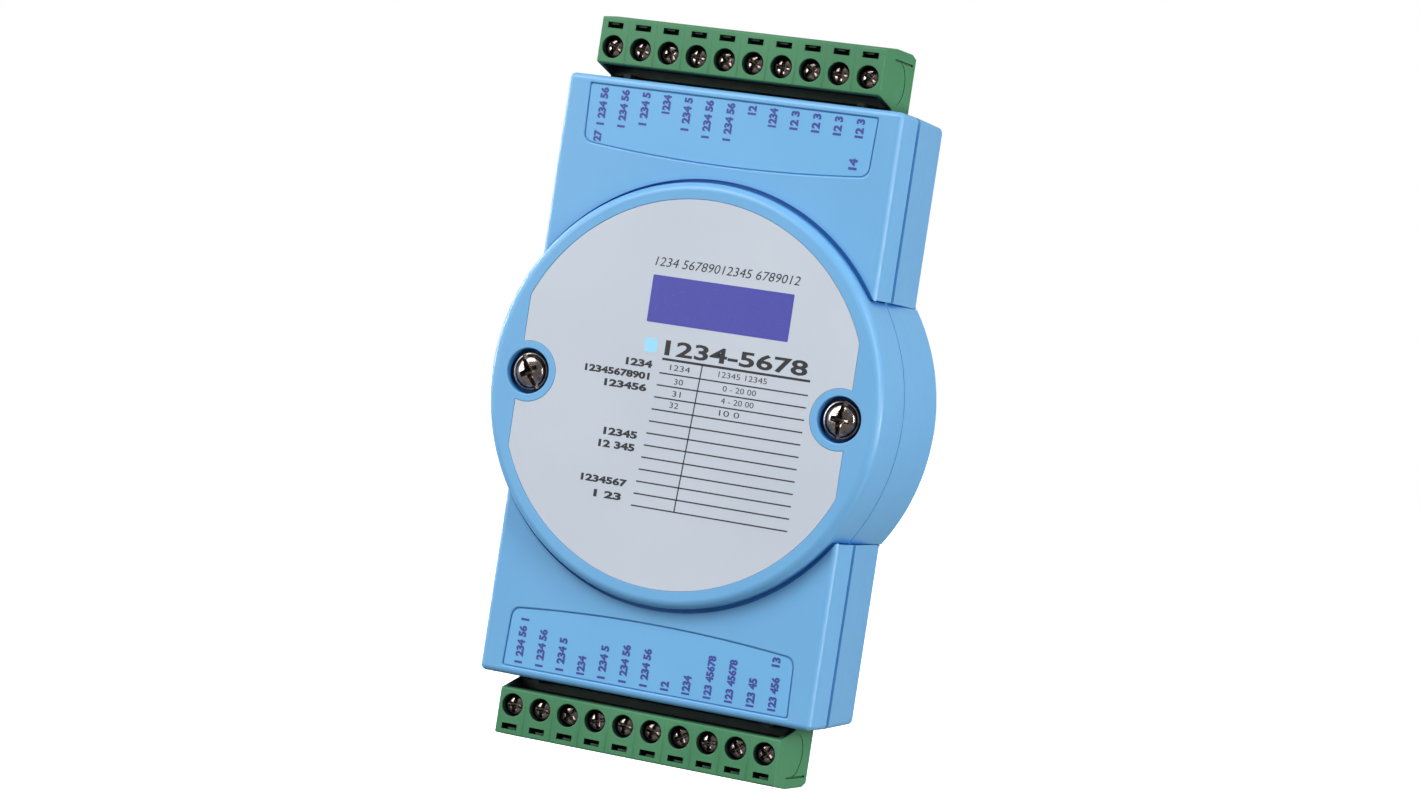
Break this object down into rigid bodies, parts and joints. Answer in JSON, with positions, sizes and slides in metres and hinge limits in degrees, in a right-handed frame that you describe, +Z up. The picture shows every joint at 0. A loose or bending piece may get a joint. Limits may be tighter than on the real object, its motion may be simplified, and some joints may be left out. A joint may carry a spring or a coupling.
{
  "type": "plc input/output module",
  "caption": "Slim DIN-rail input/output module: flat blue two-part case with a round labelled boss, pluggable green screw terminal blocks on both ends and a latching rail foot.",
  "frame": {"origin": "centre of the flat seat on the back of the rail foot, which rests on the rail; the seat is also on the middle of the case in X and Z", "axes": "+Y into the rail, away from the labelled front; +Z up along the case, towards the upper terminal block; +X to the right as seen from the front"},
  "size_m": [0.07, 0.0388, 0.122],
  "materials": {
    "case_plastic": "light blue moulded ABS, fine satin",
    "label_film": "light grey printed film",
    "legend_film": "light blue printed film",
    "plug_plastic": "green moulded polyamide",
    "header_plastic": "green moulded polyamide, with tinned pins",
    "screw_steel": "bright zinc-plated steel",
    "clamp_nickel": "nickel-plated brass",
    "circuit_board": "green solder mask",
    "black_parts": "black moulded epoxy",
    "foot_plastic": "dark grey moulded plastic"
  },
  "bodies": {
    "case": {"front_cover": "case_plastic", "rear_shell": "case_plastic", "face_label": "label_film", "upper_terminal_label": "legend_film", "lower_terminal_label": "legend_film", "case_screw_left": "screw_steel", "case_screw_right": "screw_steel", "main_board": "circuit_board", "upper_header": "header_plastic", "lower_header": "header_plastic", "dc_converter": "black_parts", "microcontroller": "black_parts", "buffer_capacitor": "black_parts", "din_adapter": "foot_plastic", "adapter_screw_left": "screw_steel", "adapter_screw_right": "screw_steel", "latch_spring": "screw_steel"},
    "upper_plug": {"upper_plug_housing": "plug_plastic"},
    "lower_plug": {"lower_plug_housing": "plug_plastic"},
    "din_latch": {"din_latch": "foot_plastic"},
    "upper_screw_01": {"upper_screw_01": "screw_steel"},
    "upper_cage_01": {"upper_cage_01": "clamp_nickel"},
    "upper_screw_02": {"upper_screw_02": "screw_steel"},
    "upper_cage_02": {"upper_cage_02": "clamp_nickel"},
    "upper_screw_03": {"upper_screw_03": "screw_steel"},
    "upper_cage_03": {"upper_cage_03": "clamp_nickel"},
    "upper_screw_04": {"upper_screw_04": "screw_steel"},
    "upper_cage_04": {"upper_cage_04": "clamp_nickel"},
    "upper_screw_05": {"upper_screw_05": "screw_steel"},
    "upper_cage_05": {"upper_cage_05": "clamp_nickel"},
    "upper_screw_06": {"upper_screw_06": "screw_steel"},
    "upper_cage_06": {"upper_cage_06": "clamp_nickel"},
    "upper_screw_07": {"upper_screw_07": "screw_steel"},
    "upper_cage_07": {"upper_cage_07": "clamp_nickel"},
    "upper_screw_08": {"upper_screw_08": "screw_steel"},
    "upper_cage_08": {"upper_cage_08": "clamp_nickel"},
    "upper_screw_09": {"upper_screw_09": "screw_steel"},
    "upper_cage_09": {"upper_cage_09": "clamp_nickel"},
    "upper_screw_10": {"upper_screw_10": "screw_steel"},
    "upper_cage_10": {"upper_cage_10": "clamp_nickel"},
    "lower_screw_01": {"lower_screw_01": "screw_steel"},
    "lower_cage_01": {"lower_cage_01": "clamp_nickel"},
    "lower_screw_02": {"lower_screw_02": "screw_steel"},
    "lower_cage_02": {"lower_cage_02": "clamp_nickel"},
    "lower_screw_03": {"lower_screw_03": "screw_steel"},
    "lower_cage_03": {"lower_cage_03": "clamp_nickel"},
    "lower_screw_04": {"lower_screw_04": "screw_steel"},
    "lower_cage_04": {"lower_cage_04": "clamp_nickel"},
    "lower_screw_05": {"lower_screw_05": "screw_steel"},
    "lower_cage_05": {"lower_cage_05": "clamp_nickel"},
    "lower_screw_06": {"lower_screw_06": "screw_steel"},
    "lower_cage_06": {"lower_cage_06": "clamp_nickel"},
    "lower_screw_07": {"lower_screw_07": "screw_steel"},
    "lower_cage_07": {"lower_cage_07": "clamp_nickel"},
    "lower_screw_08": {"lower_screw_08": "screw_steel"},
    "lower_cage_08": {"lower_cage_08": "clamp_nickel"},
    "lower_screw_09": {"lower_screw_09": "screw_steel"},
    "lower_cage_09": {"lower_cage_09": "clamp_nickel"},
    "lower_screw_10": {"lower_screw_10": "screw_steel"},
    "lower_cage_10": {"lower_cage_10": "clamp_nickel"}
  },
  "joints": [
    {"name": "upper_plug_pull", "type": "slide", "parent": "case", "child": "upper_plug", "axis": [0, 0, 1], "range_m": [0, 0.012]},
    {"name": "lower_plug_pull", "type": "slide", "parent": "case", "child": "lower_plug", "axis": [0, 0, -1], "range_m": [0, 0.012]},
    {"name": "din_latch_slide", "type": "slide", "parent": "case", "child": "din_latch", "axis": [0, 0, -1], "range_m": [0, 0.0035], "stiffness_N_per_m": 600, "springref_m": -0.002, "deforming": ["latch_spring"]},
    {"name": "upper_screw_01_turn", "type": "hinge", "parent": "upper_plug", "child": "upper_screw_01", "pos_m": [-0.02286, -0.0305, 0.0554], "axis": [0, 1, 0], "range_deg": [0, 1800]},
    {"name": "upper_cage_01_lift", "type": "slide", "parent": "upper_plug", "child": "upper_cage_01", "axis": [0, -1, 0], "range_m": [0, 0.0025]},
    {"name": "upper_screw_02_turn", "type": "hinge", "parent": "upper_plug", "child": "upper_screw_02", "pos_m": [-0.01778, -0.0305, 0.0554], "axis": [0, 1, 0], "range_deg": [0, 1800]},
    {"name": "upper_cage_02_lift", "type": "slide", "parent": "upper_plug", "child": "upper_cage_02", "axis": [0, -1, 0], "range_m": [0, 0.0025]},
    {"name": "upper_screw_03_turn", "type": "hinge", "parent": "upper_plug", "child": "upper_screw_03", "pos_m": [-0.0127, -0.0305, 0.0554], "axis": [0, 1, 0], "range_deg": [0, 1800]},
    {"name": "upper_cage_03_lift", "type": "slide", "parent": "upper_plug", "child": "upper_cage_03", "axis": [0, -1, 0], "range_m": [0, 0.0025]},
    {"name": "upper_screw_04_turn", "type": "hinge", "parent": "upper_plug", "child": "upper_screw_04", "pos_m": [-0.00762, -0.0305, 0.0554], "axis": [0, 1, 0], "range_deg": [0, 1800]},
    {"name": "upper_cage_04_lift", "type": "slide", "parent": "upper_plug", "child": "upper_cage_04", "axis": [0, -1, 0], "range_m": [0, 0.0025]},
    {"name": "upper_screw_05_turn", "type": "hinge", "parent": "upper_plug", "child": "upper_screw_05", "pos_m": [-0.00254, -0.0305, 0.0554], "axis": [0, 1, 0], "range_deg": [0, 1800]},
    {"name": "upper_cage_05_lift", "type": "slide", "parent": "upper_plug", "child": "upper_cage_05", "axis": [0, -1, 0], "range_m": [0, 0.0025]},
    {"name": "upper_screw_06_turn", "type": "hinge", "parent": "upper_plug", "child": "upper_screw_06", "pos_m": [0.00254, -0.0305, 0.0554], "axis": [0, 1, 0], "range_deg": [0, 1800]},
    {"name": "upper_cage_06_lift", "type": "slide", "parent": "upper_plug", "child": "upper_cage_06", "axis": [0, -1, 0], "range_m": [0, 0.0025]},
    {"name": "upper_screw_07_turn", "type": "hinge", "parent": "upper_plug", "child": "upper_screw_07", "pos_m": [0.00762, -0.0305, 0.0554], "axis": [0, 1, 0], "range_deg": [0, 1800]},
    {"name": "upper_cage_07_lift", "type": "slide", "parent": "upper_plug", "child": "upper_cage_07", "axis": [0, -1, 0], "range_m": [0, 0.0025]},
    {"name": "upper_screw_08_turn", "type": "hinge", "parent": "upper_plug", "child": "upper_screw_08", "pos_m": [0.0127, -0.0305, 0.0554], "axis": [0, 1, 0], "range_deg": [0, 1800]},
    {"name": "upper_cage_08_lift", "type": "slide", "parent": "upper_plug", "child": "upper_cage_08", "axis": [0, -1, 0], "range_m": [0, 0.0025]},
    {"name": "upper_screw_09_turn", "type": "hinge", "parent": "upper_plug", "child": "upper_screw_09", "pos_m": [0.01778, -0.0305, 0.0554], "axis": [0, 1, 0], "range_deg": [0, 1800]},
    {"name": "upper_cage_09_lift", "type": "slide", "parent": "upper_plug", "child": "upper_cage_09", "axis": [0, -1, 0], "range_m": [0, 0.0025]},
    {"name": "upper_screw_10_turn", "type": "hinge", "parent": "upper_plug", "child": "upper_screw_10", "pos_m": [0.02286, -0.0305, 0.0554], "axis": [0, 1, 0], "range_deg": [0, 1800]},
    {"name": "upper_cage_10_lift", "type": "slide", "parent": "upper_plug", "child": "upper_cage_10", "axis": [0, -1, 0], "range_m": [0, 0.0025]},
    {"name": "lower_screw_01_turn", "type": "hinge", "parent": "lower_plug", "child": "lower_screw_01", "pos_m": [-0.02286, -0.0305, -0.0554], "axis": [0, 1, 0], "range_deg": [0, 1800]},
    {"name": "lower_cage_01_lift", "type": "slide", "parent": "lower_plug", "child": "lower_cage_01", "axis": [0, -1, 0], "range_m": [0, 0.0025]},
    {"name": "lower_screw_02_turn", "type": "hinge", "parent": "lower_plug", "child": "lower_screw_02", "pos_m": [-0.01778, -0.0305, -0.0554], "axis": [0, 1, 0], "range_deg": [0, 1800]},
    {"name": "lower_cage_02_lift", "type": "slide", "parent": "lower_plug", "child": "lower_cage_02", "axis": [0, -1, 0], "range_m": [0, 0.0025]},
    {"name": "lower_screw_03_turn", "type": "hinge", "parent": "lower_plug", "child": "lower_screw_03", "pos_m": [-0.0127, -0.0305, -0.0554], "axis": [0, 1, 0], "range_deg": [0, 1800]},
    {"name": "lower_cage_03_lift", "type": "slide", "parent": "lower_plug", "child": "lower_cage_03", "axis": [0, -1, 0], "range_m": [0, 0.0025]},
    {"name": "lower_screw_04_turn", "type": "hinge", "parent": "lower_plug", "child": "lower_screw_04", "pos_m": [-0.00762, -0.0305, -0.0554], "axis": [0, 1, 0], "range_deg": [0, 1800]},
    {"name": "lower_cage_04_lift", "type": "slide", "parent": "lower_plug", "child": "lower_cage_04", "axis": [0, -1, 0], "range_m": [0, 0.0025]},
    {"name": "lower_screw_05_turn", "type": "hinge", "parent": "lower_plug", "child": "lower_screw_05", "pos_m": [-0.00254, -0.0305, -0.0554], "axis": [0, 1, 0], "range_deg": [0, 1800]},
    {"name": "lower_cage_05_lift", "type": "slide", "parent": "lower_plug", "child": "lower_cage_05", "axis": [0, -1, 0], "range_m": [0, 0.0025]},
    {"name": "lower_screw_06_turn", "type": "hinge", "parent": "lower_plug", "child": "lower_screw_06", "pos_m": [0.00254, -0.0305, -0.0554], "axis": [0, 1, 0], "range_deg": [0, 1800]},
    {"name": "lower_cage_06_lift", "type": "slide", "parent": "lower_plug", "child": "lower_cage_06", "axis": [0, -1, 0], "range_m": [0, 0.0025]},
    {"name": "lower_screw_07_turn", "type": "hinge", "parent": "lower_plug", "child": "lower_screw_07", "pos_m": [0.00762, -0.0305, -0.0554], "axis": [0, 1, 0], "range_deg": [0, 1800]},
    {"name": "lower_cage_07_lift", "type": "slide", "parent": "lower_plug", "child": "lower_cage_07", "axis": [0, -1, 0], "range_m": [0, 0.0025]},
    {"name": "lower_screw_08_turn", "type": "hinge", "parent": "lower_plug", "child": "lower_screw_08", "pos_m": [0.0127, -0.0305, -0.0554], "axis": [0, 1, 0], "range_deg": [0, 1800]},
    {"name": "lower_cage_08_lift", "type": "slide", "parent": "lower_plug", "child": "lower_cage_08", "axis": [0, -1, 0], "range_m": [0, 0.0025]},
    {"name": "lower_screw_09_turn", "type": "hinge", "parent": "lower_plug", "child": "lower_screw_09", "pos_m": [0.01778, -0.0305, -0.0554], "axis": [0, 1, 0], "range_deg": [0, 1800]},
    {"name": "lower_cage_09_lift", "type": "slide", "parent": "lower_plug", "child": "lower_cage_09", "axis": [0, -1, 0], "range_m": [0, 0.0025]},
    {"name": "lower_screw_10_turn", "type": "hinge", "parent": "lower_plug", "child": "lower_screw_10", "pos_m": [0.02286, -0.0305, -0.0554], "axis": [0, 1, 0], "range_deg": [0, 1800]},
    {"name": "lower_cage_10_lift", "type": "slide", "parent": "lower_plug", "child": "lower_cage_10", "axis": [0, -1, 0], "range_m": [0, 0.0025]}
  ],
  "couplings": [
    {"joint": "upper_screw_01_turn", "follows": "upper_cage_01_lift", "rad_per_m": 12566},
    {"joint": "upper_screw_02_turn", "follows": "upper_cage_02_lift", "rad_per_m": 12566},
    {"joint": "upper_screw_03_turn", "follows": "upper_cage_03_lift", "rad_per_m": 12566},
    {"joint": "upper_screw_04_turn", "follows": "upper_cage_04_lift", "rad_per_m": 12566},
    {"joint": "upper_screw_05_turn", "follows": "upper_cage_05_lift", "rad_per_m": 12566},
    {"joint": "upper_screw_06_turn", "follows": "upper_cage_06_lift", "rad_per_m": 12566},
    {"joint": "upper_screw_07_turn", "follows": "upper_cage_07_lift", "rad_per_m": 12566},
    {"joint": "upper_screw_08_turn", "follows": "upper_cage_08_lift", "rad_per_m": 12566},
    {"joint": "upper_screw_09_turn", "follows": "upper_cage_09_lift", "rad_per_m": 12566},
    {"joint": "upper_screw_10_turn", "follows": "upper_cage_10_lift", "rad_per_m": 12566},
    {"joint": "lower_screw_01_turn", "follows": "lower_cage_01_lift", "rad_per_m": 12566},
    {"joint": "lower_screw_02_turn", "follows": "lower_cage_02_lift", "rad_per_m": 12566},
    {"joint": "lower_screw_03_turn", "follows": "lower_cage_03_lift", "rad_per_m": 12566},
    {"joint": "lower_screw_04_turn", "follows": "lower_cage_04_lift", "rad_per_m": 12566},
    {"joint": "lower_screw_05_turn", "follows": "lower_cage_05_lift", "rad_per_m": 12566},
    {"joint": "lower_screw_06_turn", "follows": "lower_cage_06_lift", "rad_per_m": 12566},
    {"joint": "lower_screw_07_turn", "follows": "lower_cage_07_lift", "rad_per_m": 12566},
    {"joint": "lower_screw_08_turn", "follows": "lower_cage_08_lift", "rad_per_m": 12566},
    {"joint": "lower_screw_09_turn", "follows": "lower_cage_09_lift", "rad_per_m": 12566},
    {"joint": "lower_screw_10_turn", "follows": "lower_cage_10_lift", "rad_per_m": 12566}
  ]
}
